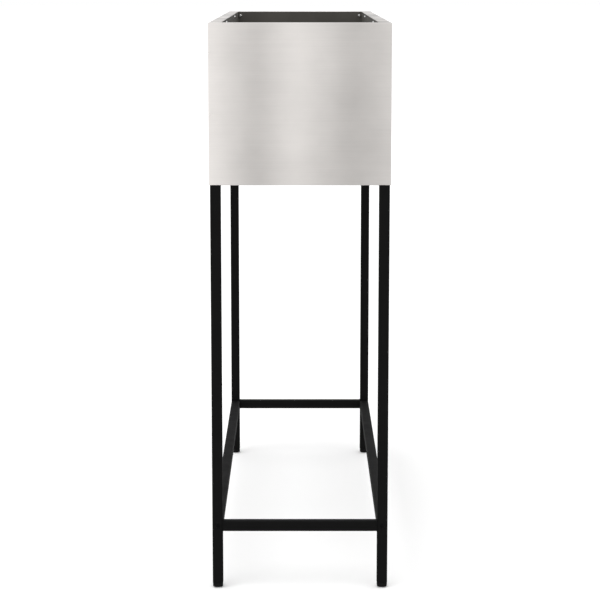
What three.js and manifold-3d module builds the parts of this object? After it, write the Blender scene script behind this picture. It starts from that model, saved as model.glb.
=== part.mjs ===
// Raised planter: a brushed stainless steel box on a black frame of square tube, with a dark planting tray.
// Millimetres, +Z up. The origin is on the floor under the middle of the box. The short ends face -Y and +Y.
import * as THREE from "three";
import { mergeVertices } from "three/addons/utils/BufferGeometryUtils.js";
import Module from "manifold-3d";

const wasm = await Module();
wasm.setup();

// Driving dimensions: the whole object
const BOX_WIDTH = 305;
const BOX_LENGTH = 1000;
const BOX_HEIGHT = 270;
const HEIGHT = 970;
const GAP = 0.3; // clearance between pieces that touch

// Square tube of the frame
const TUBE = 18;
const TUBE_WALL = 1.2;
const TUBE_CORNER = 3;
const CORNER_STEPS = 1;
const LOWER_RAIL_Z = 110;
const END_PLATE = 3; // thickness of the tapped plate welded into each end of a long rail
const SLAT_SPACING = 240;
const SLATS = { slat_front: -1, slat_middle: 0, slat_rear: 1 }; // places along Y, in slat spacings

// Folded sheet of the box
const SHEET = 1.2;
const BEND = 1.8; // outer radius of a fold
const BOTTOM_FLANGE = 15;

// Planting tray
const TRAY_SHEET = 0.9;
const DRAIN_RADIUS = 6;
const DRAIN_ROWS = 2;
const DRAIN_COLUMNS = 4;
const DRAIN_SPACING_X = 130;
const DRAIN_SPACING_Y = 240;

// Foot caps
const CAP_WIDTH = TUBE - 2 * GAP;
const CAP_HEIGHT = 9;
const CAP_DOME = 20; // radius of the dome
const CAP_FLAT = 3.5; // radius of the flat spot under the dome, on which it stands
const CAP_SHANK = 18;
const CAP_OVERLAP = 2; // how far the shank starts inside the foot
const CAP_STEPS = 4;
const CAP_SIDES = 16;

// Fasteners: radius and height of the head, radius of the shank, radius and depth of the six-sided recess
const BOLT = { head: 3.8, rise: 2.2, shank: 2, socket: 1.45, depth: 1.3 };
const SCREW = { head: 3, rise: 1.6, shank: 1.5, socket: 1.1, depth: 0.9 };
const ROUND_STEPS = 10;
const DOME_STEPS = 2;
const CROWN = 1.3; // radius of the flat on top of a head, in recess radii
const ACCESS_RADIUS = BOLT.head + 0.8; // room for a bolt head to pass
const BOLT_END_Y = 475; // the tip of every long-rail bolt, measured from the middle
const SIDE_SCREW_Z = HEIGHT - 6.5; // tray screws on the long walls, just under the rim
const END_SCREW_Z = HEIGHT - 9; // tray screws on the end walls, a little lower
const TRAY_SCREW_Y = 228; // on the long walls
const TRAY_SCREW_X = 127; // on the end walls
const TRAY_SCREW_LENGTH = 8;
const PANEL_SCREW_Y = 350;
const PANEL_SCREW_LENGTH = 10;

// Worked out from the above
const BOX_BOTTOM = HEIGHT - BOX_HEIGHT;
const TUBE_X = BOX_WIDTH / 2 - SHEET - GAP - TUBE / 2; // centre of the legs and the long rails
const TUBE_Y = BOX_LENGTH / 2 - SHEET - GAP - TUBE / 2; // centre of the legs and the short rails
const INNER_X = TUBE_X - TUBE / 2 - GAP; // what fits between the left and right tubes
const INNER_Y = TUBE_Y - TUBE / 2 - GAP;
const SUPPORT_Z = BOX_BOTTOM + SHEET + GAP + TUBE / 2;
const TOP_RAIL_Z = HEIGHT - SHEET - GAP - TUBE / 2;
const SIDE_SCREW_RISE = SIDE_SCREW_Z - TOP_RAIL_Z;
const END_SCREW_RISE = END_SCREW_Z - TOP_RAIL_Z;
const LEG_TOP = HEIGHT - SHEET - GAP;
const TRAY_BOTTOM = SUPPORT_Z + TUBE / 2 + GAP;
const RIM = BOX_WIDTH / 2 - INNER_X + TRAY_SHEET + GAP; // covers the tube and the top edge of the tray

const MATERIALS = {
  stainless: new THREE.MeshStandardMaterial({ color: 0xcdcac5, metalness: 1, roughness: 0.35 }),
  powderCoat: new THREE.MeshStandardMaterial({ color: 0x151515, metalness: 0, roughness: 0.5 }),
  tray: new THREE.MeshStandardMaterial({ color: 0x2c2b29, metalness: 0, roughness: 0.6 }),
  capPlastic: new THREE.MeshStandardMaterial({ color: 0x101010, metalness: 0, roughness: 0.6 }),
  blackSteel: new THREE.MeshStandardMaterial({ color: 0x0c0c0c, metalness: 0.6, roughness: 0.4 }),
  brightSteel: new THREE.MeshStandardMaterial({ color: 0xd8d8d6, metalness: 1, roughness: 0.25 }),
};

// A three.js geometry as a manifold-3d solid.
function solidOf(geometry) {
  const bare = geometry.clone();
  bare.deleteAttribute("normal");
  bare.deleteAttribute("uv");
  const merged = mergeVertices(bare, 1e-4);
  return new wasm.Manifold(
    new wasm.Mesh({
      numProp: 3,
      vertProperties: merged.attributes.position.array,
      triVerts: new Uint32Array(merged.index.array),
    }),
  );
}

// A manifold-3d solid as a three.js geometry.
function geometryOf(solid) {
  const mesh = solid.getMesh();
  const geometry = new THREE.BufferGeometry();
  geometry.setAttribute("position", new THREE.BufferAttribute(mesh.vertProperties, 3));
  geometry.setIndex(new THREE.BufferAttribute(mesh.triVerts, 1));
  geometry.computeVertexNormals();
  return geometry;
}

// The first geometry, kept inside another if there is one, with some geometries joined on or cut away.
function shaped(geometry, { within = null, join = [], cut = [] }) {
  let solid = solidOf(geometry);
  if (within) solid = solid.intersect(solidOf(within));
  for (const piece of join) solid = solid.add(solidOf(piece));
  for (const piece of cut) solid = solid.subtract(solidOf(piece));
  return geometryOf(solid);
}

function boxBetween([x0, y0, z0], [x1, y1, z1]) {
  const box = new THREE.BoxGeometry(x1 - x0, y1 - y0, z1 - z0);
  return box.translate((x0 + x1) / 2, (y0 + y1) / 2, (z0 + z1) / 2);
}

// A round bar between two points, tapered if its radius at the second point is given.
function bar(radius, from, to, endRadius = radius) {
  const start = new THREE.Vector3(...from);
  const end = new THREE.Vector3(...to);
  const along = end.clone().sub(start);
  const cylinder = new THREE.CylinderGeometry(endRadius, radius, along.length(), ROUND_STEPS);
  const up = new THREE.Vector3(0, 1, 0);
  cylinder.applyQuaternion(new THREE.Quaternion().setFromUnitVectors(up, along.clone().normalize()));
  const middle = start.add(end).multiplyScalar(0.5);
  return cylinder.translate(middle.x, middle.y, middle.z);
}

// The outline of a square with rounded corners, centred on the origin.
function roundedSquare(width, radius, Outline = THREE.Shape) {
  const half = width / 2;
  const middle = half - radius;
  const outline = new Outline();
  outline.moveTo(half, -middle);
  outline.absarc(middle, middle, radius, 0, Math.PI / 2);
  outline.absarc(-middle, middle, radius, Math.PI / 2, Math.PI);
  outline.absarc(-middle, -middle, radius, Math.PI, 1.5 * Math.PI);
  outline.absarc(middle, -middle, radius, 1.5 * Math.PI, 2 * Math.PI);
  return outline;
}

// A bar of rounded square section from z0 to z1.
function squareBar(width, radius, z0, z1) {
  const shape = roundedSquare(width, radius);
  const options = { depth: z1 - z0, bevelEnabled: false, curveSegments: CORNER_STEPS };
  return new THREE.ExtrudeGeometry(shape, options).translate(0, 0, z0);
}

// A length of the frame's tube from z0 to z1, open at both ends.
function tube(z0, z1) {
  const shape = roundedSquare(TUBE, TUBE_CORNER);
  shape.holes.push(roundedSquare(TUBE - 2 * TUBE_WALL, TUBE_CORNER - TUBE_WALL, THREE.Path));
  const options = { depth: z1 - z0, bevelEnabled: false, curveSegments: CORNER_STEPS };
  return new THREE.ExtrudeGeometry(shape, options).translate(0, 0, z0);
}

// Adds a named mesh to the group at a place.
function place(group, name, geometry, material, [x, y, z], turn = new THREE.Euler()) {
  const mesh = new THREE.Mesh(geometry, material);
  mesh.name = name;
  mesh.position.set(x, y, z);
  mesh.rotation.copy(turn);
  group.add(mesh);
}

// A leg with its bolt holes: right through for the lower rail, and an access hole outside each hidden bolt.
function legGeometry() {
  const outside = -TUBE;
  const inside = TUBE;
  const hole = BOLT.shank + GAP;
  const cut = [bar(hole, [0, outside, LOWER_RAIL_Z], [0, inside, LOWER_RAIL_Z])];
  for (const z of [SUPPORT_Z, TOP_RAIL_Z]) {
    cut.push(bar(hole, [0, 0, z], [0, inside, z]));
    cut.push(bar(ACCESS_RADIUS, [0, outside, z], [0, 0, z]));
  }
  return shaped(tube(CAP_HEIGHT, LEG_TOP), { cut });
}

// A square plug with a domed foot, flat in the middle where it stands. Its shank fits inside the leg.
function footCapGeometry() {
  const top = CAP_HEIGHT - GAP;
  const reach = CAP_WIDTH * Math.SQRT1_2; // the dome runs out past the corners
  const start = Math.asin(CAP_FLAT / CAP_DOME);
  const end = Math.asin(reach / CAP_DOME);
  const profile = [new THREE.Vector2(0, 0)];
  for (let i = 0; i <= CAP_STEPS; i += 1) {
    const angle = start + (i / CAP_STEPS) * (end - start);
    const z = CAP_DOME * (Math.cos(start) - Math.cos(angle));
    profile.push(new THREE.Vector2(CAP_DOME * Math.sin(angle), z));
  }
  profile.push(new THREE.Vector2(reach, top), new THREE.Vector2(0, top));
  const dome = new THREE.LatheGeometry(profile, CAP_SIDES).rotateX(Math.PI / 2);
  const shankWidth = TUBE - 2 * TUBE_WALL - 2 * GAP;
  const shankCorner = TUBE_CORNER - TUBE_WALL;
  const shank = squareBar(shankWidth, shankCorner, top - CAP_OVERLAP, CAP_HEIGHT + CAP_SHANK);
  return shaped(squareBar(CAP_WIDTH, TUBE_CORNER, 0, top), { within: dome, join: [shank] });
}

// Screw holes through one wall of a rail along local Z, each running from inside the tube to outside it.
function screwHoles(places, inside, outside) {
  return places.map((z) => bar(SCREW.shank + GAP, [...inside, z], [...outside, z]));
}

// A short rail along local Z, open at both ends.
function shortRailGeometry(holes = []) {
  return shaped(tube(-INNER_X, INNER_X), { cut: holes });
}

// A long rail along local Z, with a tapped plate in each end.
function longRailGeometry(holes = []) {
  const plates = [-1, 1].map((end) => {
    const ends = [end * INNER_Y, end * (INNER_Y - END_PLATE)].sort((a, b) => a - b);
    return squareBar(TUBE - TUBE_WALL, TUBE_CORNER - TUBE_WALL / 2, ...ends);
  });
  const tapped = bar(BOLT.shank + GAP, [0, 0, -BOX_LENGTH], [0, 0, BOX_LENGTH]);
  return shaped(tube(-INNER_Y, INNER_Y), { join: plates, cut: [tapped, ...holes] });
}

// The section of a folded panel: bottom flange, wall and rim. x is the depth into the box, y is the height.
function panelSection() {
  const top = BOX_HEIGHT;
  const inner = BEND - SHEET;
  const section = new THREE.Shape();
  section.moveTo(BOTTOM_FLANGE, 0);
  section.lineTo(BOTTOM_FLANGE, SHEET);
  section.absarc(BEND, BEND, inner, 1.5 * Math.PI, Math.PI, true);
  section.absarc(BEND, top - BEND, inner, Math.PI, Math.PI / 2, true);
  section.lineTo(RIM, top - SHEET);
  section.lineTo(RIM, top);
  section.absarc(BEND, top - BEND, BEND, Math.PI / 2, Math.PI);
  section.absarc(BEND, BEND, BEND, Math.PI, 1.5 * Math.PI);
  section.closePath();
  return section;
}

// What is cut from one end of a panel: beyond the rim's mitre, and beyond the bottom flange's end.
function panelEndCuts(end, mitreStart, flangeEnd) {
  const past = 2 * RIM;
  const outline = new THREE.Shape();
  outline.moveTo(end * mitreStart, SHEET);
  outline.lineTo(end * (mitreStart - past), SHEET + past);
  outline.lineTo(end * (mitreStart + past), SHEET + past);
  outline.lineTo(end * (mitreStart + past), SHEET);
  outline.closePath();
  const depth = 2 * BEND;
  const mitre = new THREE.ExtrudeGeometry(outline, { depth, bevelEnabled: false });
  mitre.translate(0, 0, BOX_HEIGHT - BEND);
  const xs = [end * flangeEnd, end * (flangeEnd + past)].sort((a, b) => a - b);
  return [mitre, boxBetween([xs[0], SHEET, -BEND], [xs[1], past, BEND])];
}

// A countersunk hole up through the bottom flange, in the middle of the support rail above it.
function countersunkHole(x) {
  const y = SHEET + GAP + TUBE / 2;
  const below = [x, y, -BEND];
  const above = [x, y, SCREW.head - SCREW.shank];
  return bar(SCREW.head + GAP + BEND, below, above, SCREW.shank + GAP);
}

// One panel folded from one sheet, along local X, with its face at y = 0 looking along -Y.
function panelGeometry(halfLength, mitreStart, flangeEnd, screwPlaces) {
  const options = { depth: 2 * halfLength, bevelEnabled: false, curveSegments: CORNER_STEPS };
  const folded = new THREE.ExtrudeGeometry(panelSection(), options);
  const [x, y, z] = [new THREE.Vector3(1, 0, 0), new THREE.Vector3(0, 1, 0), new THREE.Vector3(0, 0, 1)];
  folded.translate(0, 0, -halfLength).applyMatrix4(new THREE.Matrix4().makeBasis(y, z, x));
  const ends = [-1, 1].flatMap((end) => panelEndCuts(end, mitreStart, flangeEnd));
  return shaped(folded, { cut: [...screwPlaces.map(countersunkHole), ...ends] });
}

// A fastener turned along local Y from the profile of its head, with a six-sided recess in the head.
function turned(headProfile, { shank, socket, depth }, length) {
  const tip = [
    new THREE.Vector2(shank, length - shank / 2),
    new THREE.Vector2(shank / 2, length),
    new THREE.Vector2(0, length),
  ];
  const body = new THREE.LatheGeometry([...headProfile, ...tip], ROUND_STEPS);
  const recess = new THREE.CylinderGeometry(socket, socket, 2 * depth, 6);
  return shaped(body, { cut: [recess.translate(0, headProfile[0].y, 0)] });
}

// A fastener with a domed head towards -Y, the underside of the head at y = 0.
function domedFastener(kind, length) {
  const { head, rise, shank, socket } = kind;
  const crown = socket * CROWN;
  const profile = [new THREE.Vector2(0, -rise)];
  for (let i = 0; i <= DOME_STEPS; i += 1) {
    const angle = ((i / DOME_STEPS) * Math.PI) / 2;
    profile.push(new THREE.Vector2(crown + (head - crown) * Math.sin(angle), -rise * Math.cos(angle)));
  }
  profile.push(new THREE.Vector2(shank, 0));
  return turned(profile, kind, length);
}

// A fastener with a countersunk head towards -Y, its flat face at y = 0.
function countersunkFastener(kind, length) {
  const { head, shank } = kind;
  const neck = new THREE.Vector2(shank, head - shank);
  return turned([new THREE.Vector2(0, 0), new THREE.Vector2(head, 0), neck], kind, length);
}

// The planting tray: one open box, with drain holes in its floor and screw holes near its top edge.
function trayGeometry() {
  const outer = boxBetween([-INNER_X, -INNER_Y, TRAY_BOTTOM], [INNER_X, INNER_Y, LEG_TOP]);
  const wallX = INNER_X - TRAY_SHEET;
  const wallY = INNER_Y - TRAY_SHEET;
  const hollow = boxBetween([-wallX, -wallY, TRAY_BOTTOM + TRAY_SHEET], [wallX, wallY, HEIGHT]);
  const cut = [hollow];
  for (let row = 0; row < DRAIN_ROWS; row += 1) {
    for (let column = 0; column < DRAIN_COLUMNS; column += 1) {
      const x = (row - (DRAIN_ROWS - 1) / 2) * DRAIN_SPACING_X;
      const y = (column - (DRAIN_COLUMNS - 1) / 2) * DRAIN_SPACING_Y;
      cut.push(bar(DRAIN_RADIUS, [x, y, TRAY_BOTTOM - TUBE], [x, y, TRAY_BOTTOM + TUBE]));
    }
  }
  const hole = SCREW.shank + GAP;
  for (const side of [-1, 1]) {
    const y = side * TRAY_SCREW_Y;
    const x = side * TRAY_SCREW_X;
    cut.push(bar(hole, [-BOX_WIDTH, y, SIDE_SCREW_Z], [BOX_WIDTH, y, SIDE_SCREW_Z]));
    cut.push(bar(hole, [x, -BOX_LENGTH, END_SCREW_Z], [x, BOX_LENGTH, END_SCREW_Z]));
  }
  return shaped(outer, { cut });
}

const ALONG_X = new THREE.Euler(0, Math.PI / 2, 0); // turns local Z to +X, and local Y stays
const ALONG_Y = new THREE.Euler(-Math.PI / 2, 0, 0); // turns local Z to +Y, and local Y to -Z
const HEAD_DOWN = new THREE.Euler(Math.PI / 2, 0, 0); // turns a fastener's head to -Z
const MITRE_SETBACK = (GAP / 2) * Math.SQRT2;

const GEOMETRY = {
  leg: legGeometry(),
  footCap: footCapGeometry(),
  // in a short rail's own frame -X is up and +Y is into the box
  shortRail: shortRailGeometry(),
  shortSupportRail: shortRailGeometry(screwHoles([0], [0, 0], [TUBE, 0])),
  shortTopRail: shortRailGeometry(
    screwHoles([-TRAY_SCREW_X, TRAY_SCREW_X], [-END_SCREW_RISE, 0], [-END_SCREW_RISE, TUBE]),
  ),
  // in a long rail's own frame -Y is up and -X is into the box
  longRail: longRailGeometry(),
  longSupportRail: longRailGeometry(screwHoles([-PANEL_SCREW_Y, 0, PANEL_SCREW_Y], [0, 0], [0, TUBE])),
  longTopRail: longRailGeometry(
    screwHoles([-TRAY_SCREW_Y, TRAY_SCREW_Y], [0, -SIDE_SCREW_RISE], [-TUBE, -SIDE_SCREW_RISE]),
  ),
  endPanel: panelGeometry(BOX_WIDTH / 2, BOX_WIDTH / 2 - SHEET - MITRE_SETBACK, INNER_X, [0]),
  sidePanel: panelGeometry(
    BOX_LENGTH / 2 - SHEET - GAP,
    BOX_LENGTH / 2 - SHEET - MITRE_SETBACK,
    INNER_Y,
    [-PANEL_SCREW_Y, 0, PANEL_SCREW_Y],
  ),
  railBolt: domedFastener(BOLT, TUBE_Y + TUBE / 2 + GAP - BOLT_END_Y),
  hiddenBolt: domedFastener(BOLT, TUBE_Y - TUBE / 2 + TUBE_WALL + GAP - BOLT_END_Y),
  trayScrew: domedFastener(SCREW, TRAY_SCREW_LENGTH),
  panelScrew: countersunkFastener(SCREW, PANEL_SCREW_LENGTH),
};

// Everything at one end, built facing -Y. The rear end is the same group turned half round.
function endGroup(name, isFront) {
  const group = new THREE.Group();
  const sideName = (side) => (side > 0 === isFront ? "right" : "left");
  const steel = MATERIALS.powderCoat;
  for (const side of [-1, 1]) {
    const which = `${name}_${sideName(side)}`;
    const x = side * TUBE_X;
    place(group, `leg_${which}`, GEOMETRY.leg, steel, [x, -TUBE_Y, 0]);
    place(group, `foot_cap_${which}`, GEOMETRY.footCap, MATERIALS.capPlastic, [x, -TUBE_Y, 0]);
    const boltY = -(TUBE_Y + TUBE / 2 + GAP);
    const hiddenY = -(TUBE_Y - TUBE / 2 + TUBE_WALL + GAP);
    const black = MATERIALS.blackSteel;
    place(group, `lower_bolt_${which}`, GEOMETRY.railBolt, black, [x, boltY, LOWER_RAIL_Z]);
    place(group, `support_bolt_${which}`, GEOMETRY.hiddenBolt, black, [x, hiddenY, SUPPORT_Z]);
    place(group, `top_bolt_${which}`, GEOMETRY.hiddenBolt, black, [x, hiddenY, TOP_RAIL_Z]);
    const screwAt = [side * TRAY_SCREW_X, -(INNER_Y - TRAY_SHEET - GAP), END_SCREW_Z];
    const outwards = new THREE.Euler(0, 0, Math.PI);
    place(group, `tray_screw_${which}`, GEOMETRY.trayScrew, MATERIALS.brightSteel, screwAt, outwards);
  }
  place(group, `lower_rail_${name}`, GEOMETRY.shortRail, steel, [0, -TUBE_Y, LOWER_RAIL_Z], ALONG_X);
  place(group, `support_rail_${name}`, GEOMETRY.shortSupportRail, steel, [0, -TUBE_Y, SUPPORT_Z], ALONG_X);
  place(group, `top_rail_${name}`, GEOMETRY.shortTopRail, steel, [0, -TUBE_Y, TOP_RAIL_Z], ALONG_X);
  place(group, `end_panel_${name}`, GEOMETRY.endPanel, MATERIALS.stainless, [0, -BOX_LENGTH / 2, BOX_BOTTOM]);
  const screwAt = [0, -TUBE_Y, BOX_BOTTOM];
  place(group, `panel_screw_${name}`, GEOMETRY.panelScrew, MATERIALS.brightSteel, screwAt, HEAD_DOWN);
  group.rotation.z = isFront ? 0 : Math.PI;
  return group;
}

// Everything along one side, built facing +X. The left side is the same group turned half round.
function sideGroup(name, isRight) {
  const group = new THREE.Group();
  const endName = (end) => (end > 0 === isRight ? "rear" : "front");
  const steel = MATERIALS.powderCoat;
  place(group, `lower_rail_${name}`, GEOMETRY.longRail, steel, [TUBE_X, 0, LOWER_RAIL_Z], ALONG_Y);
  place(group, `support_rail_${name}`, GEOMETRY.longSupportRail, steel, [TUBE_X, 0, SUPPORT_Z], ALONG_Y);
  place(group, `top_rail_${name}`, GEOMETRY.longTopRail, steel, [TUBE_X, 0, TOP_RAIL_Z], ALONG_Y);
  const quarter = new THREE.Euler(0, 0, Math.PI / 2);
  const panelAt = [BOX_WIDTH / 2, 0, BOX_BOTTOM];
  place(group, `side_panel_${name}`, GEOMETRY.sidePanel, MATERIALS.stainless, panelAt, quarter);
  const bright = MATERIALS.brightSteel;
  const headInwards = new THREE.Euler(0, 0, -Math.PI / 2);
  for (const end of [-1, 1]) {
    const at = [INNER_X - TRAY_SHEET - GAP, end * TRAY_SCREW_Y, SIDE_SCREW_Z];
    place(group, `tray_screw_${name}_${endName(end)}`, GEOMETRY.trayScrew, bright, at, headInwards);
  }
  for (const end of [-1, 0, 1]) {
    const which = end === 0 ? "middle" : endName(end);
    const at = [TUBE_X, end * PANEL_SCREW_Y, BOX_BOTTOM];
    place(group, `panel_screw_${name}_${which}`, GEOMETRY.panelScrew, bright, at, HEAD_DOWN);
  }
  group.rotation.z = isRight ? 0 : Math.PI;
  return group;
}

const planter = new THREE.Group();
planter.add(endGroup("front", true), endGroup("rear", false));
planter.add(sideGroup("right", true), sideGroup("left", false));
for (const [name, step] of Object.entries(SLATS)) {
  const at = [0, step * SLAT_SPACING, SUPPORT_Z];
  place(planter, name, GEOMETRY.shortRail, MATERIALS.powderCoat, at, ALONG_X);
}
place(planter, "tray", trayGeometry(), MATERIALS.tray, [0, 0, 0]);

export default planter;
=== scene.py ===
"""A raised planter: a brushed stainless steel box with a dark planting tray, on a black square-tube frame.

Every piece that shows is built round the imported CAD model, in metres, +Z up. The short ends face -Y and +Y.
"""

import math

import bmesh
import bpy
from mathutils import Matrix, Vector


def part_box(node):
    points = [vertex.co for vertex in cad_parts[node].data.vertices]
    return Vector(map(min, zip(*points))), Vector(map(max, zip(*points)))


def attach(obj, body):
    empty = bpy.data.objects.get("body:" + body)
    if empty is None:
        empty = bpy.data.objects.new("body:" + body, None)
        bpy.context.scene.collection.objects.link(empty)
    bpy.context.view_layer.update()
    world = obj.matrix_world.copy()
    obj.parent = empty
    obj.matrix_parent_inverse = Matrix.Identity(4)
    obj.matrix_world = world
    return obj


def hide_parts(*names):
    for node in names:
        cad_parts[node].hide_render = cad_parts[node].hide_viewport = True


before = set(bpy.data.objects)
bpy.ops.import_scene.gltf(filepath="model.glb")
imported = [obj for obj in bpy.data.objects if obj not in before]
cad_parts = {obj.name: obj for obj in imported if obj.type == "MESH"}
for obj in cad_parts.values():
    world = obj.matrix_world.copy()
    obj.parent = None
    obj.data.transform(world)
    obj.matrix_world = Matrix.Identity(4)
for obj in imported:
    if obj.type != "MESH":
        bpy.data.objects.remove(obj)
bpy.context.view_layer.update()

ENDS = {"front": -1, "rear": 1}  # along Y
SIDES = {"left": -1, "right": 1}  # along X
PLACES = ("front", "middle", "rear")  # of the slats and of the long panels' screws

JOINT_GAP = 0.0003  # clearance that the CAD keeps between pieces that touch

# Square tube
TUBE_WALL = 0.0012
TUBE_CORNER = 0.003
END_PLATE = 0.003
END_CHAMFER = 0.0003
CORNER_STEPS = 6  # for each rounded corner of a tube, a tray or a foot

# Folded sheet of the box
SHEET = 0.0012
BEND = 0.0018  # outer radius of a fold
BOTTOM_FLANGE = 0.015
BEND_STEPS = 6
EDGE_ROUNDING = 0.00015

# Tray
TRAY_SHEET = 0.0009
TRAY_BEND = 0.0025  # outer radius of its folds and corners
TRAY_LIP = 0.0002  # chamfer along its upper edge
DRAIN_RADIUS = 0.006
DRAIN_X = (-0.065, 0.065)
DRAIN_Y = (-0.36, -0.12, 0.12, 0.36)

# Fasteners: radii of the head, shank and recess, height of the head, depth of the recess, and thread pitch
BOLT = {"head": 0.0038, "rise": 0.0022, "shank": 0.002, "socket": 0.00145, "depth": 0.0013, "pitch": 0.0007}
SCREW = {"head": 0.003, "rise": 0.0016, "shank": 0.0015, "socket": 0.0011, "depth": 0.0009, "pitch": 0.0005}
COUNTERSUNK = {**SCREW, "rise": 0.0}
HOLE_CLEARANCE = 0.0003
ACCESS_CLEARANCE = 0.0008  # round a bolt head that passes through a leg's outer wall
ROUND_STEPS = 36
DOME_STEPS = 8
SMOOTH_ANGLE = math.radians(35)  # a sharper edge than this shows as an edge
SAME_POINT = 1e-6  # points nearer than this are merged

# Turns a shape built along Z to run along another axis
ALONG = {
    "x": Matrix.Rotation(math.pi / 2, 4, "Y"),
    "y": Matrix.Rotation(-math.pi / 2, 4, "X"),
    "z": Matrix.Identity(4),
}


# ---------------------------------------------------------------- mesh tools


def middle(node):
    """The middle of a CAD node's box."""
    low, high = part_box(node)
    return (Vector(low) + Vector(high)) / 2


def extent(node):
    """The size of a CAD node's box along X, Y and Z."""
    low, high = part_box(node)
    return Vector(high) - Vector(low)


def rounded_ring(width, depth, radius, z):
    """A rectangle with rounded corners, as points at one height."""
    ring = []
    for quarter in range(4):
        x = (width / 2 - radius) * (1 if quarter in (0, 3) else -1)
        y = (depth / 2 - radius) * (1 if quarter in (0, 1) else -1)
        for step in range(CORNER_STEPS + 1):
            angle = (quarter + step / CORNER_STEPS) * math.pi / 2
            ring.append(Vector((x + radius * math.cos(angle), y + radius * math.sin(angle), z)))
    return ring


def square_ring(width, radius, z):
    return rounded_ring(width, width, radius, z)


def round_ring(radius, z):
    """A circle, as points at one height."""
    turns = (math.tau * i / ROUND_STEPS for i in range(ROUND_STEPS))
    return [Vector((radius * math.cos(turn), radius * math.sin(turn), z)) for turn in turns]


def hexagon_ring(apothem, z):
    """A hexagon with as many points as a round ring has, so that the two join face to face."""
    ring = []
    for i in range(ROUND_STEPS):
        turn = math.tau * i / ROUND_STEPS
        radius = apothem / math.cos(turn % (math.pi / 3) - math.pi / 6)
        ring.append(Vector((radius * math.cos(turn), radius * math.sin(turn), z)))
    return ring


def loft(rings, closed=False):
    """A skin through rings of equal length, closed into a loop of rings or capped at both ends."""
    count = len(rings[0])
    faces = []
    for i in range(len(rings) if closed else len(rings) - 1):
        a, b = i * count, (i + 1) % len(rings) * count
        for k in range(count):
            after = (k + 1) % count
            faces.append((a + k, a + after, b + after, b + k))
    if not closed:
        faces.append(tuple(range(count)))
        faces.append(tuple(range((len(rings) - 1) * count, len(rings) * count)))
    return [point for ring in rings for point in ring], faces


def clean_mesh(name, points, faces, place=None):
    """A closed mesh facing out, with doubled points merged, moved to its place in the row frame."""
    mesh = bpy.data.meshes.new(name)
    mesh.from_pydata(points, [], faces)
    work = bmesh.new()
    work.from_mesh(mesh)
    bmesh.ops.remove_doubles(work, verts=work.verts, dist=SAME_POINT)
    if place is not None:
        bmesh.ops.transform(work, matrix=place, verts=work.verts)
    bmesh.ops.recalc_face_normals(work, faces=work.faces)
    work.to_mesh(mesh)
    work.free()
    return mesh


def with_modifiers(thing):
    """Replaces an object's mesh with what its modifiers make of it."""
    shown = thing.evaluated_get(bpy.context.evaluated_depsgraph_get())
    made = bpy.data.meshes.new_from_object(shown)
    thing.modifiers.clear()
    thing.data = made


def drill(thing, cutters):
    """Cuts round holes, each (centre, direction, radius, length, radius at the far end), out of a piece."""
    points, faces = [], []
    for centre, direction, radius, length, end_radius in cutters:
        place = Matrix.Translation(centre) @ direction.to_track_quat("Z", "Y").to_matrix().to_4x4()
        start = round_ring(radius, -length / 2)
        end = round_ring(end_radius, length / 2)
        bar_points, bar_faces = loft([start, end])
        faces += [tuple(len(points) + k for k in face) for face in bar_faces]
        points += [place @ point for point in bar_points]
    cutter = bpy.data.objects.new("cutter", clean_mesh("cutter", points, faces))
    bpy.context.scene.collection.objects.link(cutter)
    cut = thing.modifiers.new("holes", "BOOLEAN")
    cut.operation = "DIFFERENCE"
    cut.solver = "EXACT"
    cut.object = cutter
    with_modifiers(thing)
    bpy.data.objects.remove(cutter)


def round_edges(thing, width):
    """Rounds every edge that SMOOTH_ANGLE would show."""
    bevel = thing.modifiers.new("edges", "BEVEL")
    bevel.width = width
    bevel.segments = 2
    bevel.limit_method = "ANGLE"
    bevel.angle_limit = SMOOTH_ANGLE
    with_modifiers(thing)


def new_piece(name, mesh, material, stands_for=(), holes=(), rounding=0.0):
    """A finished piece that rides on the planter and stands for its CAD nodes."""
    piece = bpy.data.objects.new(name, mesh)
    bpy.context.scene.collection.objects.link(piece)
    if holes:
        drill(piece, holes)
    if rounding:
        round_edges(piece, rounding)
    mesh = piece.data
    mesh.polygons.foreach_set("use_smooth", [True] * len(mesh.polygons))
    mesh.set_sharp_from_angle(angle=SMOOTH_ANGLE)
    mesh.materials.clear()
    mesh.materials.append(material)
    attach(piece, "root")
    if stands_for:
        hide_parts(*stands_for)
    return piece


# ---------------------------------------------------------------- materials

# Parts of a noise's range
ALL = (0.0, 1.0)
MOST = (0.2, 0.8)
CORE = (0.3, 0.7)

# The steel's soft bands are a painted reflection: lighter and darker stripes in its colour.
PAINTED_BANDS_START = (-30.76, -6.73, 6.83)  # where the panels lie in the noise that makes their soft bands

# The floor's brightness to the camera and to other rays, and its glow to the camera
FLOOR_SHOWN = 0.94
FLOOR_THROWN = 0.76
FLOOR_GLOW = 0.08

# Looks of the two fastener steels. The black one is black oxide made darker than the coat, as painted shade
# under and inside the bolt heads.
BLACK_OXIDE_AND_SHADE = {"colour": (0.0016, 0.0016, 0.0017), "metallic": 0.0, "roughness": 0.45, "gloss": 0.08}
BRIGHT = {"colour": (0.86, 0.86, 0.85), "metallic": 1.0, "roughness": 0.2, "gloss": 0.5}


def add(tree, kind, settings=None, inputs=None):
    """Adds a node. An input is a plain value or another node's output."""
    made = tree.nodes.new(kind)
    for key, value in (settings or {}).items():
        setattr(made, key, value)
    for key, value in (inputs or {}).items():
        if isinstance(value, bpy.types.NodeSocket):
            tree.links.new(value, made.inputs[key])
        else:
            made.inputs[key].default_value = value
    return made


def new_material(name, colour, metallic, roughness, **sockets):
    """A material with one Principled shader whose fixed values are set on its own sockets."""
    material = bpy.data.materials.new(name)
    material.use_nodes = True
    material.diffuse_color = (*colour, 1)
    tree = material.node_tree
    shader = tree.nodes["Principled BSDF"]
    shader.inputs["Base Color"].default_value = (*colour, 1)
    shader.inputs["Metallic"].default_value = metallic
    shader.inputs["Roughness"].default_value = roughness
    for key, value in sockets.items():
        shader.inputs[key.replace("_", " ")].default_value = value
    return material, tree, shader


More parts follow.
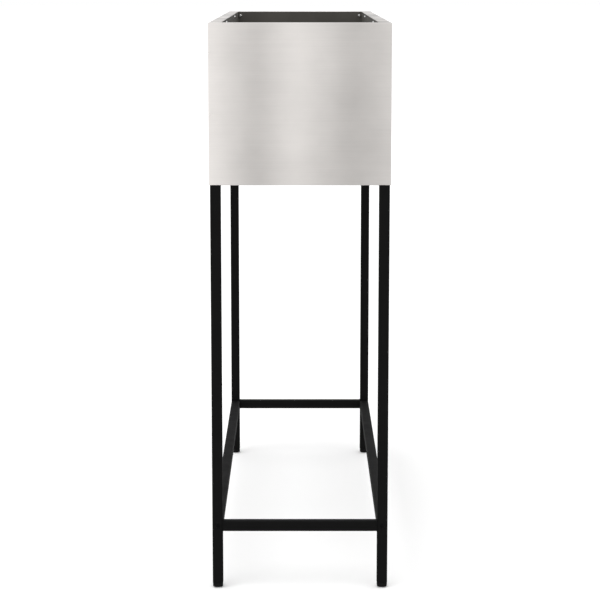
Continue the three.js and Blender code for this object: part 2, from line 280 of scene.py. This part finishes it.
def place_in_metres(tree):
    """Where a point is on the planter. Every piece's own origin is the planter's."""
    return add(tree, "ShaderNodeTexCoord").outputs["Object"]


def noise(tree, place, per_metre, detail=2.0, roughness=0.5, start=(0, 0, 0)):
    """A noise from 0 to 1, with its own number of features per metre along X, Y and Z."""
    settings = {"operation": "MULTIPLY_ADD"}
    scaled = add(tree, "ShaderNodeVectorMath", settings, {0: place, 1: per_metre, 2: start})
    values = {"Vector": scaled.outputs[0], "Scale": 1.0, "Detail": detail, "Roughness": roughness}
    return add(tree, "ShaderNodeTexNoise", None, values).outputs["Fac"]


def spread(tree, value, low, high, part=ALL):
    """Stretches that part of a value's range over low to high."""
    limits = {"Value": value, "From Min": part[0], "From Max": part[1], "To Min": low, "To Max": high}
    return add(tree, "ShaderNodeMapRange", None, limits).outputs["Result"]


def total(tree, *values):
    """The sum of some values."""
    result = values[0]
    for value in values[1:]:
        result = add(tree, "ShaderNodeMath", {"operation": "ADD"}, {0: result, 1: value}).outputs[0]
    return result


def shaded(tree, colour, factor):
    """A colour made lighter or darker by a factor round 1."""
    inputs = {0: colour, "Scale": factor}
    return add(tree, "ShaderNodeVectorMath", {"operation": "SCALE"}, inputs).outputs[0]


def bump(tree, height, distance, below=None):
    """A bump of that height in metres, on top of another bump if one is given."""
    values = {"Height": height, "Distance": distance, "Strength": 1.0}
    if below is not None:
        values["Normal"] = below
    return add(tree, "ShaderNodeBump", None, values).outputs["Normal"]


def brushed_stainless(name, grain):
    """Stainless sheet brushed along "x" or "y": hairlines, streaks and smudges, with soft bands of painted
    reflection in its colour.
    """
    colour = (0.68, 0.654, 0.632)
    material, tree, shader = new_material(
        name, colour, 1.0, 0.3, Anisotropic=0.5, Anisotropic_Rotation=0.25
    )
    place = place_in_metres(tree)

    def stretched(along, across):
        return (along, across, across) if grain == "x" else (across, along, across)

    hairlines = noise(tree, place, stretched(9, 1100), 2.0, 0.6)
    streaks = noise(tree, place, stretched(2.5, 170), 2.0, 0.55)
    painted_reflection_bands = noise(tree, place, (6.5, 6.5, 0.8), 1.0, 0.45, PAINTED_BANDS_START)
    smudges = noise(tree, place, (13, 13, 14), 3.0, 0.5)
    # The first term paints soft bands of reflection into the colour. The same bands also vary the roughness.
    factor = total(
        tree,
        spread(tree, painted_reflection_bands, 0.66, 1.38, MOST),
        spread(tree, streaks, -0.018, 0.018, MOST),
        spread(tree, hairlines, -0.03, 0.03, MOST),
        spread(tree, smudges, -0.045, 0.045, CORE),
    )
    tree.links.new(shaded(tree, colour, factor), shader.inputs["Base Color"])
    polish = total(
        tree,
        spread(tree, painted_reflection_bands, 0.37, 0.29, MOST),
        spread(tree, streaks, -0.025, 0.025, MOST),
        spread(tree, smudges, -0.02, 0.03, CORE),
    )
    tree.links.new(polish, shader.inputs["Roughness"])
    wavy = bump(tree, noise(tree, place, (7, 7, 5), 1.0), 0.0002)
    tangent = add(tree, "ShaderNodeTangent", {"direction_type": "RADIAL", "axis": "Z"})
    tree.links.new(tangent.outputs[0], shader.inputs["Tangent"])
    tree.links.new(bump(tree, hairlines, 0.00001, wavy), shader.inputs["Normal"])
    return material


def powder_coat(name):
    """Black powder coat: a matt skin with fine orange peel, grit and a little dust."""
    colour = (0.0042, 0.0042, 0.0042)
    material, tree, shader = new_material(name, colour, 0.0, 0.7, Specular_IOR_Level=0.07)
    place = place_in_metres(tree)
    peel = noise(tree, place, (620, 620, 620), 2.0, 0.5)
    grit = noise(tree, place, (2400, 2400, 2400), 2.0, 0.6)
    dust = noise(tree, place, (30, 30, 30), 4.0, 0.6)
    dusting = spread(tree, dust, 0.85, 1.3, (0.3, 0.75))
    factor = total(tree, dusting, spread(tree, grit, -0.15, 0.15, MOST))
    tree.links.new(shaded(tree, colour, factor), shader.inputs["Base Color"])
    matting = spread(tree, dust, 0.64, 0.76, (0.3, 0.75))
    sheen = total(tree, matting, spread(tree, peel, -0.05, 0.05, MOST))
    tree.links.new(sheen, shader.inputs["Roughness"])
    coarse = bump(tree, peel, 0.00006)
    tree.links.new(bump(tree, grit, 0.000015, coarse), shader.inputs["Normal"])
    return material


def tray_paint(name):
    """Dark grey paint inside the box: satin, a little mottled, with pale scuffs."""
    colour = (0.078, 0.073, 0.064)
    material, tree, shader = new_material(name, colour, 0.0, 0.5, Specular_IOR_Level=0.35)
    place = place_in_metres(tree)
    mottle = noise(tree, place, (18, 18, 9), 3.0, 0.55)
    speckle = noise(tree, place, (1500, 1500, 1500), 2.0, 0.6)
    scuffs = noise(tree, place, (90, 14, 40), 4.0, 0.7)
    factor = total(
        tree,
        spread(tree, mottle, 0.88, 1.10, CORE),
        spread(tree, speckle, -0.06, 0.06, MOST),
        spread(tree, scuffs, 0.0, 0.22, (0.62, 0.8)),
    )
    tree.links.new(shaded(tree, colour, factor), shader.inputs["Base Color"])
    matting = spread(tree, mottle, 0.45, 0.55, CORE)
    sheen = total(tree, matting, spread(tree, scuffs, 0.0, 0.15, (0.62, 0.8)))
    tree.links.new(sheen, shader.inputs["Roughness"])
    tree.links.new(bump(tree, speckle, 0.00003), shader.inputs["Normal"])
    return material


def moulded_plastic(name):
    """Black moulded plastic with a fine spark-eroded texture and slight scuffs."""
    colour = (0.0042, 0.0042, 0.0043)
    material, tree, shader = new_material(name, colour, 0.0, 0.6, Specular_IOR_Level=0.1)
    place = place_in_metres(tree)
    grain = noise(tree, place, (1800, 1800, 1800), 2.0, 0.6)
    scuffs = noise(tree, place, (160, 160, 60), 3.0, 0.6)
    grey = spread(tree, grain, 0.85, 1.1, MOST)
    factor = total(tree, grey, spread(tree, scuffs, 0.0, 0.5, (0.55, 0.8)))
    tree.links.new(shaded(tree, colour, factor), shader.inputs["Base Color"])
    matting = spread(tree, grain, 0.55, 0.65, MOST)
    sheen = total(tree, matting, spread(tree, scuffs, 0.0, 0.1, (0.55, 0.8)))
    tree.links.new(sheen, shader.inputs["Roughness"])
    tree.links.new(bump(tree, grain, 0.00004), shader.inputs["Normal"])
    return material


def fastener_steel(name, colour, metallic, roughness, gloss):
    """Turned steel, plated or blackened, with slight stains and fine marks."""
    material, tree, shader = new_material(name, colour, metallic, roughness, Specular_IOR_Level=gloss)
    place = place_in_metres(tree)
    stains = noise(tree, place, (700, 700, 700), 3.0, 0.6)
    marks = noise(tree, place, (3500, 3500, 900), 2.0, 0.6)
    staining = spread(tree, stains, 0.88, 1.05, CORE)
    factor = total(tree, staining, spread(tree, marks, -0.06, 0.06, MOST))
    tree.links.new(shaded(tree, colour, factor), shader.inputs["Base Color"])
    polish = spread(tree, stains, roughness * 1.3, roughness * 0.85, CORE)
    tree.links.new(polish, shader.inputs["Roughness"])
    tree.links.new(bump(tree, marks, 0.000006), shader.inputs["Normal"])
    return material


def floor_paint(name):
    """A white floor that throws back less light than it shows. A slight glow lifts its shadows."""
    white = (1, 1, 1)
    material, tree, shader = new_material(name, white, 0.0, 0.7, Specular_IOR_Level=0.1)
    place = place_in_metres(tree)
    mottle = noise(tree, place, (2, 2, 2), 3.0, 0.5)
    seen = add(tree, "ShaderNodeLightPath").outputs["Is Camera Ray"]
    level = spread(tree, seen, FLOOR_THROWN, FLOOR_SHOWN)
    level = total(tree, level, spread(tree, mottle, -0.005, 0.005, CORE))
    tree.links.new(shaded(tree, white, level), shader.inputs["Base Color"])
    tree.links.new(spread(tree, mottle, 0.68, 0.74, CORE), shader.inputs["Roughness"])
    shader.inputs["Emission Color"].default_value = (*white, 1)
    tree.links.new(spread(tree, seen, 0.0, FLOOR_GLOW), shader.inputs["Emission Strength"])
    return material


# ---------------------------------------------------------------- frame


def tube_rings(width, length, plated):
    """Rings of a square tube along Z: open at both ends, or with a drilled plate inside each end."""
    half = length / 2
    bore = width - 2 * TUBE_WALL
    bore_corner = TUBE_CORNER - TUBE_WALL
    rings = [
        square_ring(width - 2 * END_CHAMFER, TUBE_CORNER - END_CHAMFER, -half),
        square_ring(width, TUBE_CORNER, -half + END_CHAMFER),
        square_ring(width, TUBE_CORNER, half - END_CHAMFER),
        square_ring(width - 2 * END_CHAMFER, TUBE_CORNER - END_CHAMFER, half),
    ]
    if plated:
        hole = BOLT["shank"] + HOLE_CLEARANCE
        rings += [square_ring(2 * hole, hole, half), square_ring(2 * hole, hole, half - END_PLATE)]
        rings += [square_ring(bore, bore_corner, half - END_PLATE)]
        rings += [square_ring(bore, bore_corner, -half + END_PLATE)]
        rings += [square_ring(2 * hole, hole, -half + END_PLATE), square_ring(2 * hole, hole, -half)]
    else:
        rings += [square_ring(bore, bore_corner, half), square_ring(bore, bore_corner, -half)]
    return rings


def build_tube(node, axis, material, plated=False, holes=()):
    """One length of the frame's tube, along an axis of the row frame, in the place of its CAD node."""
    length = extent(node)["xyz".index(axis)]
    points, faces = loft(tube_rings(min(extent(node)), length, plated), closed=True)
    mesh = clean_mesh(f"{node}_tube", points, faces, Matrix.Translation(middle(node)) @ ALONG[axis])
    return new_piece(f"{node}_tube", mesh, material, [node], holes)


def clear_hole(centre, direction, radius, length):
    """A straight hole, as drill takes it."""
    return centre, Vector(direction), radius, length, radius


def screw_hole(fastener, direction):
    """A clearance hole round a screw's shank, longer than the screw at both ends."""
    radius = SCREW["shank"] + HOLE_CLEARANCE
    return clear_hole(middle(fastener), direction, radius, 2 * max(extent(fastener)))


def countersunk_hole(fastener):
    """A hole that tapers upwards at 45 degrees round the head of a screw set flush in a flange."""
    low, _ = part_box(fastener)
    centre = middle(fastener)
    centre.z = low[2]
    taper = SCREW["head"] - SCREW["shank"]
    radius = SCREW["head"] + HOLE_CLEARANCE
    return centre, Vector((0, 0, 1)), radius + taper, 2 * taper, radius - taper


def leg_holes(end, side):
    """The lower bolt's hole goes right through. A hidden bolt's head passes through a wider outer hole."""
    node = f"leg_{end}_{side}"
    tube = min(extent(node))
    outwards = Vector((0, ENDS[end], 0))
    small = BOLT["shank"] + HOLE_CLEARANCE
    large = BOLT["head"] + ACCESS_CLEARANCE
    axis = middle(node)
    holes = []
    for kind in ("lower", "support", "top"):
        at = Vector((axis.x, axis.y, middle(f"{kind}_bolt_{end}_{side}").z))
        if kind == "lower":
            holes.append(clear_hole(at, outwards, small, 2 * tube))
        else:
            holes.append(clear_hole(at - outwards * tube / 2, outwards, small, tube))
            holes.append(clear_hole(at + outwards * tube / 2, outwards, large, tube / 2))
    return holes


def build_frame(material):
    """Legs and rails with the holes for their fasteners, and the slats."""
    for end in ENDS:
        for side in SIDES:
            build_tube(f"leg_{end}_{side}", "z", material, holes=leg_holes(end, side))
        build_tube(f"lower_rail_{end}", "x", material)
        underneath = [screw_hole(f"panel_screw_{end}", (0, 0, 1))]
        build_tube(f"support_rail_{end}", "x", material, holes=underneath)
        inside = [screw_hole(f"tray_screw_{end}_{side}", (0, 1, 0)) for side in SIDES]
        build_tube(f"top_rail_{end}", "x", material, holes=inside)
    for side in SIDES:
        build_tube(f"lower_rail_{side}", "y", material, plated=True)
        underneath = [screw_hole(f"panel_screw_{side}_{place}", (0, 0, 1)) for place in PLACES]
        build_tube(f"support_rail_{side}", "y", material, plated=True, holes=underneath)
        inside = [screw_hole(f"tray_screw_{side}_{end}", (1, 0, 0)) for end in ENDS]
        build_tube(f"top_rail_{side}", "y", material, plated=True, holes=inside)
    for place in PLACES:
        build_tube(f"slat_{place}", "x", material)


# Weld beads where a short rail or a slat meets the tube beside it
BEAD_RADIUS = 0.0011
BEAD_RIPPLE = 0.14  # of the radius
BEAD_PITCH = 0.0016
BEAD_STEP = 0.0004
BEAD_SEGMENTS = 10
BEAD_TIP = 0.35  # size of an open bead's end, of its radius
BEAD_TAPER = 0.2  # how much it grows with each step


def resampled(path, step):
    """Points at even spacing along a path of straight runs."""
    even = [path[0]]
    for start, end in zip(path, path[1:]):
        count = max(1, round((end - start).length / step))
        even += [start.lerp(end, i / count) for i in range(1, count + 1)]
    return even


def bead_rings(path, normal, closed):
    """Round sections along a flat path, with the ripple of a hand-run weld and tapered ends."""
    rings = []
    run = 0.0
    last = len(path) - 1
    for i, point in enumerate(path):
        before = path[i - 1] if i or closed else path[0]
        after = path[(i + 1) % len(path)] if i < last or closed else path[last]
        sideways = (after - before).normalized().cross(normal)
        run += (point - path[max(i - 1, 0)]).length
        radius = BEAD_RADIUS * (1 + BEAD_RIPPLE * math.sin(math.tau * run / BEAD_PITCH))
        if not closed:
            radius *= min(1.0, BEAD_TIP + BEAD_TAPER * min(i, last - i))
        ring = []
        for k in range(BEAD_SEGMENTS):
            turn = math.tau * k / BEAD_SEGMENTS
            ring.append(point + radius * (math.cos(turn) * normal + math.sin(turn) * sideways))
        rings.append(ring)
    return rings


def build_bead(name, centre, path, closed, material):
    """A bead in the YZ plane, along a path of (y, z) points round a centre."""
    corners = [centre + Vector((0, *point)) for point in path]
    if closed:
        even = resampled([*corners, corners[0]], BEAD_STEP)[:-1]
    else:
        even = resampled(corners, BEAD_STEP)
    points, faces = loft(bead_rings(even, Vector((1, 0, 0)), closed), closed)
    return new_piece(name, clean_mesh(name, points, faces), material)


def build_beads(material):
    """Beads all round the lower rails' ends, beside and under the slats, and inside the support rails."""
    half = extent("lower_rail_front").z / 2
    edge = half - BEAD_RADIUS / 2
    all_round = [(point.x, point.y) for point in square_ring(2 * edge, TUBE_CORNER, 0)]
    top = edge - TUBE_CORNER
    under = [(-edge, top), (-edge, -edge), (edge, -edge), (edge, top)]
    straight = half - TUBE_CORNER
    for side, sign in SIDES.items():
        reach = sign * (extent("lower_rail_front").x + JOINT_GAP) / 2
        for end, way in ENDS.items():
            inside = [(-way * edge, -straight), (-way * edge, straight)]
            for kind, path in (("lower", all_round), ("support", inside)):
                centre = middle(f"{kind}_rail_{end}")
                centre.x = reach
                build_bead(f"weld_{kind}_{end}_{side}", centre, path, kind == "lower", material)
        for place in PLACES:
            centre = middle(f"slat_{place}")
            centre.x = reach
            build_bead(f"weld_slat_{place}_{side}", centre, under, False, material)


# ---------------------------------------------------------------- feet

CAP_DOME = 0.02  # radius of the dome
CAP_FLAT = 0.0035  # radius of the flat spot that it stands on
CAP_ROUNDING = 0.0004
CAP_EDGE = 0.0005  # how far the upper edge is drawn in
RIBS = 4
RIB_DEPTH = 0.001
RIB_FOOT, RIB_FLANK, RIB_TOP = 1 / 3, 1 / 8, 1 / 12  # heights round a rib's tip, in rib pitches


def domed_ring(ring, flat, radius):
    """A flat ring pushed up onto a ball of that radius, which stands on a flat spot."""
    centre = math.sqrt(radius**2 - flat**2)
    points = []
    for point in ring:
        out = max(math.hypot(point.x, point.y), flat)
        points.append(Vector((point.x, point.y, centre - math.sqrt(radius**2 - out**2))))
    return points


def build_foot_cap(node, leg, material):
    """A plug with a domed foot, a soft upper edge and gripping ribs on the shank inside the leg."""
    low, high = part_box(node)
    width = extent(node).x
    foot_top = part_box(leg)[0][2] - low[2] - JOINT_GAP
    rings = []
    for step in range(1, DOME_STEPS + 1):
        size = width * step / DOME_STEPS
        flat_ring = square_ring(size, TUBE_CORNER * step / DOME_STEPS, 0)
        rings.append(domed_ring(flat_ring, CAP_FLAT, CAP_DOME))
    rings.append(square_ring(width, TUBE_CORNER, foot_top - CAP_EDGE))
    rings.append(square_ring(width - CAP_EDGE, TUBE_CORNER - CAP_EDGE / 2, foot_top))
    rib_corner = TUBE_CORNER - TUBE_WALL
    rib = extent(leg).x - 2 * TUBE_WALL - 2 * JOINT_GAP
    core = rib - 2 * RIB_DEPTH
    core_corner = rib_corner / 2
    rings.append(square_ring(core, core_corner, foot_top))
    top = high[2] - low[2]
    pitch = (top - foot_top) / (RIBS + 1)
    for k in range(1, RIBS + 1):
        tip = foot_top + k * pitch
        rings.append(square_ring(core, core_corner, tip - pitch * RIB_FOOT))
        rings.append(square_ring(rib, rib_corner, tip - pitch * RIB_FLANK))
        rings.append(square_ring(rib, rib_corner, tip))
        rings.append(square_ring(core, core_corner, tip + pitch * RIB_TOP))
    rings.append(square_ring(core, core_corner, top - RIB_DEPTH))
    rings.append(square_ring(core - 2 * RIB_DEPTH, core_corner, top))
    points, faces = loft(rings)
    centre = middle(node)
    mesh = clean_mesh(f"{node}_moulding", points, faces, Matrix.Translation((centre.x, centre.y, low[2])))
    return new_piece(f"{node}_moulding", mesh, material, [node], rounding=CAP_ROUNDING)


def build_feet(material):
    for end in ENDS:
        for side in SIDES:
            build_foot_cap(f"foot_cap_{end}_{side}", f"leg_{end}_{side}", material)


# ---------------------------------------------------------------- box


def arc(centre, radius, start, end):
    """Points round a fold, from angle to angle in degrees, as (depth, height)."""
    points = []
    for step in range(BEND_STEPS + 1):
        angle = math.radians(start + (end - start) * step / BEND_STEPS)
        points.append((centre[0] + radius * math.cos(angle), centre[1] + radius * math.sin(angle)))
    return points


def panel_section(height, rim):
    """Pairs of (outer point, inner point) from the bottom flange's edge, up the wall, to the rim's edge."""
    low, high = (BEND, BEND), (BEND, height - BEND)
    outer = [(BOTTOM_FLANGE, 0), *arc(low, BEND, 270, 180), *arc(high, BEND, 180, 90), (rim, height)]
    inner_bend = BEND - SHEET
    inner = [(BOTTOM_FLANGE, SHEET), *arc(low, inner_bend, 270, 180), *arc(high, inner_bend, 180, 90)]
    inner.append((rim, height - SHEET))
    return list(zip(outer, inner))


def build_panel(node, turn, box_half, flange_half, holes, material):
    """One sheet folded along local X, with mitred rim ends, then turned about Z to face its own way."""
    low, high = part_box(node)
    height = high[2] - low[2]
    rim, length = sorted(extent(node).xy)
    mitre = box_half - SHEET - JOINT_GAP * math.sqrt(0.5)
    section = panel_section(height, rim)

    def reach(depth, z):
        """How far the wall, the bottom flange or the mitred rim runs from the middle."""
        if depth <= SHEET:
            return length / 2
        if z < height / 2:
            return flange_half
        return mitre - (depth - SHEET)

    points, rows = [], []
    for pair in section:
        row = []
        for depth, z in pair:
            end = reach(pair[0][0], z)
            row += [len(points), len(points) + 1]
            points += [Vector((-end, depth, z)), Vector((end, depth, z))]
        rows.append(row)
    faces = []
    for (a, b, c, d), (e, f, g, h) in zip(rows, rows[1:]):
        faces += [(a, b, f, e), (d, c, g, h), (a, e, g, c), (b, d, h, f)]
    faces += [tuple(rows[0][i] for i in (0, 2, 3, 1)), tuple(rows[-1][i] for i in (0, 1, 3, 2))]
    centre = middle(node)
    face_point = Vector((0, -rim / 2, -height / 2))
    place = Matrix.Translation(centre) @ Matrix.Rotation(turn, 4, "Z") @ Matrix.Translation(face_point)
    mesh = clean_mesh(f"{node}_sheet", points, faces, place)
    return new_piece(f"{node}_sheet", mesh, material, [node], holes, EDGE_ROUNDING)


def build_panels(end_steel, side_steel):
    """Four folded sheets: two ends, and two sides between them."""
    _, box_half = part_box("end_panel_rear")
    tray_half = extent("tray") / 2
    for end, sign in ENDS.items():
        holes = [countersunk_hole(f"panel_screw_{end}")]
        turn = 0 if sign < 0 else math.pi
        build_panel(f"end_panel_{end}", turn, box_half[0], tray_half.x, holes, end_steel)
    for side, sign in SIDES.items():
        holes = [countersunk_hole(f"panel_screw_{side}_{place}") for place in PLACES]
        turn = sign * math.pi / 2
        build_panel(f"side_panel_{side}", turn, box_half[1], tray_half.y, holes, side_steel)


def build_tray(material):
    """A pressed tray with rounded bottom edges and corners, drain holes and screw holes."""
    low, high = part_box("tray")
    width, length = extent("tray").x, extent("tray").y
    bottom, top = low[2], high[2]
    rings = []
    for step in range(BEND_STEPS + 1):
        angle = step / BEND_STEPS * math.pi / 2
        inset = TRAY_BEND * (1 - math.sin(angle))
        z = bottom + TRAY_BEND * (1 - math.cos(angle))
        rings.append(rounded_ring(width - 2 * inset, length - 2 * inset, TRAY_BEND, z))
    rings.append(rounded_ring(width, length, TRAY_BEND, top - TRAY_LIP))
    rings.append(rounded_ring(width - 2 * TRAY_LIP, length - 2 * TRAY_LIP, TRAY_BEND - TRAY_LIP, top))
    inner = TRAY_BEND - TRAY_SHEET
    for step in range(BEND_STEPS + 1):
        angle = step / BEND_STEPS * math.pi / 2
        inset = TRAY_SHEET + inner * (1 - math.cos(angle))
        z = bottom + TRAY_BEND - inner * math.sin(angle)
        if step == 0:
            rings.append(rounded_ring(width - 2 * inset, length - 2 * inset, inner, top))
        rings.append(rounded_ring(width - 2 * inset, length - 2 * inset, inner, z))
    points, faces = loft(rings)
    drains = [Vector((x, y, bottom)) for x in DRAIN_X for y in DRAIN_Y]
    holes = [clear_hole(drain, (0, 0, 1), DRAIN_RADIUS, 2 * DRAIN_RADIUS) for drain in drains]
    for end in ENDS:
        holes += [screw_hole(f"tray_screw_{end}_{side}", (0, 1, 0)) for side in SIDES]
    for side in SIDES:
        holes += [screw_hole(f"tray_screw_{side}_{end}", (1, 0, 0)) for end in ENDS]
    mesh = clean_mesh("tray_pressing", points, faces)
    mesh.transform(Matrix.Translation((middle("tray").x, middle("tray").y, 0)))
    return new_piece("tray_pressing", mesh, material, ["tray"], holes)


# ---------------------------------------------------------------- fasteners

CROWN = 1.3  # radius of the flat on top of a domed head, in recess sizes
THREAD_ROOT = 0.84  # radius at the bottom of a thread, in shank radii
FINE_EDGE = 0.0001


def domed_head(kind):
    """Rings of a domed head with its underside at zero."""
    head, rise = kind["head"], kind["rise"]
    crown = kind["socket"] * CROWN
    rings = []
    for step in range(DOME_STEPS + 1):
        angle = step / DOME_STEPS * math.pi / 2
        radius = crown + (head - crown) * math.sin(angle)
        rings.append(round_ring(radius, rise * math.cos(angle)))
    rings.append(round_ring(head - FINE_EDGE, 0))
    rings.append(round_ring(kind["shank"], 0))
    return rings


def countersunk_head(kind):
    """Rings of a cone with its flat face at zero."""
    head, shank = kind["head"], kind["shank"]
    rims = ((head - FINE_EDGE, 0), (head, -FINE_EDGE), (shank, shank - head))
    return [round_ring(radius, z) for radius, z in rims]


def fastener_rings(kind, length):
    """Rings along Z, head up: a six-sided recess, the head, and a shank with a rolled thread."""
    rise, shank, socket, pitch = kind["rise"], kind["shank"], kind["socket"], kind["pitch"]
    rings = [hexagon_ring(socket, rise - kind["depth"])]
    rings.append(hexagon_ring(socket, rise - FINE_EDGE))
    rings.append(hexagon_ring(socket + FINE_EDGE, rise))
    rings += domed_head(kind) if rise else countersunk_head(kind)
    z = shank - kind["head"] - pitch
    while z > -length + shank:
        rings.append(round_ring(shank, z))
        rings.append(round_ring(shank * THREAD_ROOT, z - pitch / 2))
        z -= pitch
    rings.append(round_ring(shank, -length + shank / 2))
    rings.append(round_ring(shank / 2, -length))
    return rings


def build_fastener(node, head_way, kind, material):
    """One bolt or screw, with its head at the end of the node's box that head_way points to."""
    way = Vector(head_way)
    length = max(extent(node))
    seat = middle(node) + way * (length / 2 - kind["rise"])
    place = Matrix.Translation(seat) @ way.to_track_quat("Z", "Y").to_matrix().to_4x4()
    points, faces = loft(fastener_rings(kind, length - kind["rise"]))
    mesh = clean_mesh(f"{node}_turned", points, faces, place)
    return new_piece(f"{node}_turned", mesh, material, [node])


def build_fasteners(black, bright):
    """Bolts with heads outwards, tray screws with heads inwards, and panel screws with heads down."""
    for end, sign in ENDS.items():
        for side in SIDES:
            for kind in ("lower", "support", "top"):
                build_fastener(f"{kind}_bolt_{end}_{side}", (0, sign, 0), BOLT, black)
            build_fastener(f"tray_screw_{end}_{side}", (0, -sign, 0), SCREW, bright)
        build_fastener(f"panel_screw_{end}", (0, 0, -1), COUNTERSUNK, bright)
    for side, sign in SIDES.items():
        for end in ENDS:
            build_fastener(f"tray_screw_{side}_{end}", (-sign, 0, 0), SCREW, bright)
        for place in PLACES:
            build_fastener(f"panel_screw_{side}_{place}", (0, 0, -1), COUNTERSUNK, bright)


# ---------------------------------------------------------------- studio

FLOOR_HALF = 60.0  # from its middle to each side

# The studio's brightness as a light: its walls, and what is added towards the top and the rear
WALLS_LEVEL = (0.85, 1.1)
TOP_LIFT = (0.02, 0.1)
REAR_LIFT = (0.0, -0.18)

LAMP_STRENGTH = 0.9
LAMP_WIDTH = math.radians(50)
LAMP_TILT = (math.radians(25), math.radians(-20))

LENS = 119.06  # mm
SENSOR = 36.0  # mm
NEAREST, FARTHEST = 0.1, 200.0  # what the camera can see
CAMERA_PLACE = (-0.0008, -3.809, 1.0507)
CAMERA_PITCH = math.radians(-9.353)
CAMERA_YAW = math.radians(-0.015)


def build_floor():
    """One large square under everything."""
    corners = ((-1, -1), (1, -1), (1, 1), (-1, 1))
    points = [Vector((x * FLOOR_HALF, y * FLOOR_HALF, 0)) for x, y in corners]
    mesh = bpy.data.meshes.new("floor")
    mesh.from_pydata(points, [], [(0, 1, 2, 3)])
    mesh.materials.append(floor_paint("floor_paint"))
    floor = bpy.data.objects.new("floor", mesh)
    bpy.context.scene.collection.objects.link(floor)


def build_world():
    """A pale studio, white to the camera. As a light it is softly uneven, and dimmer at the rear."""
    world = bpy.data.worlds.new("studio")
    bpy.context.scene.world = world
    world.use_nodes = True
    tree = world.node_tree
    tree.nodes.clear()
    way = add(tree, "ShaderNodeTexCoord").outputs["Generated"]
    split = add(tree, "ShaderNodeSeparateXYZ", None, {0: way})
    walls = noise(tree, way, (2.2, 2.2, 0.5), 0.0)
    level = total(
        tree,
        spread(tree, walls, *WALLS_LEVEL, CORE),
        spread(tree, split.outputs["Z"], *TOP_LIFT, (0.1, 0.9)),
        spread(tree, split.outputs["Y"], *REAR_LIFT, (0.6, 1.0)),
    )
    light = add(tree, "ShaderNodeBackground", None, {"Color": (1, 1, 1, 1)})
    tree.links.new(level, light.inputs["Strength"])
    seen = add(tree, "ShaderNodeBackground", None, {"Color": (1, 1, 1, 1), "Strength": 1.0})
    from_camera = add(tree, "ShaderNodeLightPath").outputs["Is Camera Ray"]
    both = {0: from_camera, 1: light.outputs[0], 2: seen.outputs[0]}
    mixed = add(tree, "ShaderNodeMixShader", None, both)
    add(tree, "ShaderNodeOutputWorld", None, {"Surface": mixed.outputs[0]})


def build_lights():
    """One broad, soft lamp from above the front left, left out of reflections."""
    data = bpy.data.lights.new("key", "SUN")
    data.energy = LAMP_STRENGTH
    data.angle = LAMP_WIDTH
    light = bpy.data.objects.new("key", data)
    light.rotation_euler = (*LAMP_TILT, 0)
    light.visible_glossy = False
    bpy.context.scene.collection.objects.link(light)


def build_camera():
    """A long lens looking along the box, a little above its rim and tilted down."""
    data = bpy.data.cameras.new("camera")
    data.lens = LENS
    data.sensor_width = SENSOR
    data.clip_start = NEAREST
    data.clip_end = FARTHEST
    camera = bpy.data.objects.new("camera", data)
    camera.location = CAMERA_PLACE
    camera.rotation_euler = (math.pi / 2 + CAMERA_PITCH, 0, CAMERA_YAW)
    bpy.context.scene.collection.objects.link(camera)
    bpy.context.scene.camera = camera


# ---------------------------------------------------------------- assembly

bpy.context.scene.view_settings.view_transform = "Standard"
build_camera()
black_coat = powder_coat("black_powder_coat")
build_frame(black_coat)
build_beads(black_coat)
build_feet(moulded_plastic("foot_plastic"))
build_panels(brushed_stainless("stainless_end", "x"), brushed_stainless("stainless_side", "y"))
build_tray(tray_paint("tray_paint"))
# The black bolts' colour holds painted shade under and inside their heads, on top of black oxide.
black_and_shade_steel = fastener_steel("black_oxide_and_shade_steel", **BLACK_OXIDE_AND_SHADE)
bright_steel = fastener_steel("bright_steel", **BRIGHT)
build_fasteners(black_and_shade_steel, bright_steel)
build_floor()
build_world()
build_lights()
